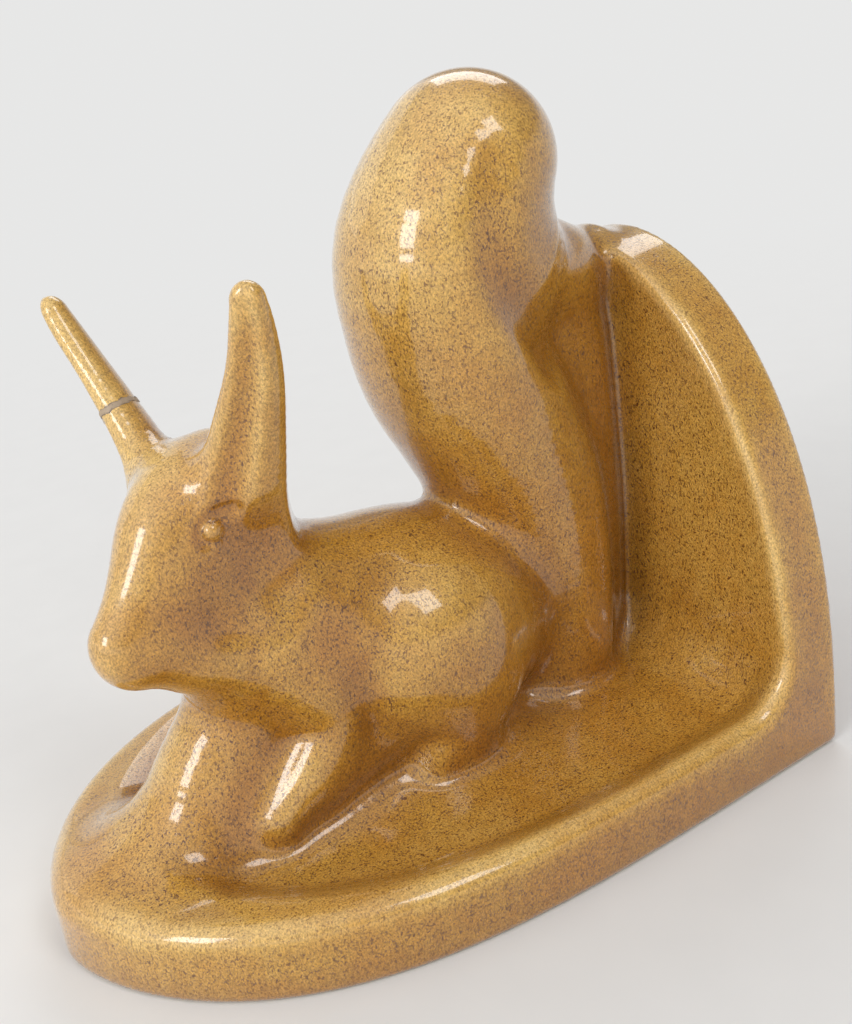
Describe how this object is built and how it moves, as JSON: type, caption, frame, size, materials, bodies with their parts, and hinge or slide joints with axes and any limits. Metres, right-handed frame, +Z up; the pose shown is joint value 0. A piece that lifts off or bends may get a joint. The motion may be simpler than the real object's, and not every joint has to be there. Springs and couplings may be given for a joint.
{
  "type": "squirrel bookend",
  "caption": "L-shaped glazed stoneware bookend with a crouching squirrel on its base, whose tall plump tail climbs the arched back slab.",
  "frame": {"origin": "on the ground under the middle of the base plate", "axes": "+X from the rounded front to the flat back that books lean on, +Y to the squirrel's right, +Z up"},
  "size_m": [0.168, 0.12, 0.1594],
  "materials": {
    "glaze": "glossy honey-brown glaze with a fine dark speckle",
    "glue": "dried adhesive with dirt along its edges"
  },
  "bodies": {
    "root": {"base_plate": "glaze", "back_slab": "glaze", "torso": "glaze", "tail": "glaze", "left_foreleg": "glaze", "right_foreleg": "glaze", "left_hind_foot": "glaze", "right_hind_foot": "glaze", "head": "glaze", "left_ear": "glaze", "right_ear_stub": "glaze", "right_ear_tip": "glaze", "left_eye": "glaze", "right_eye": "glaze", "ear_glue": "glue"}
  },
  "joints": []
}
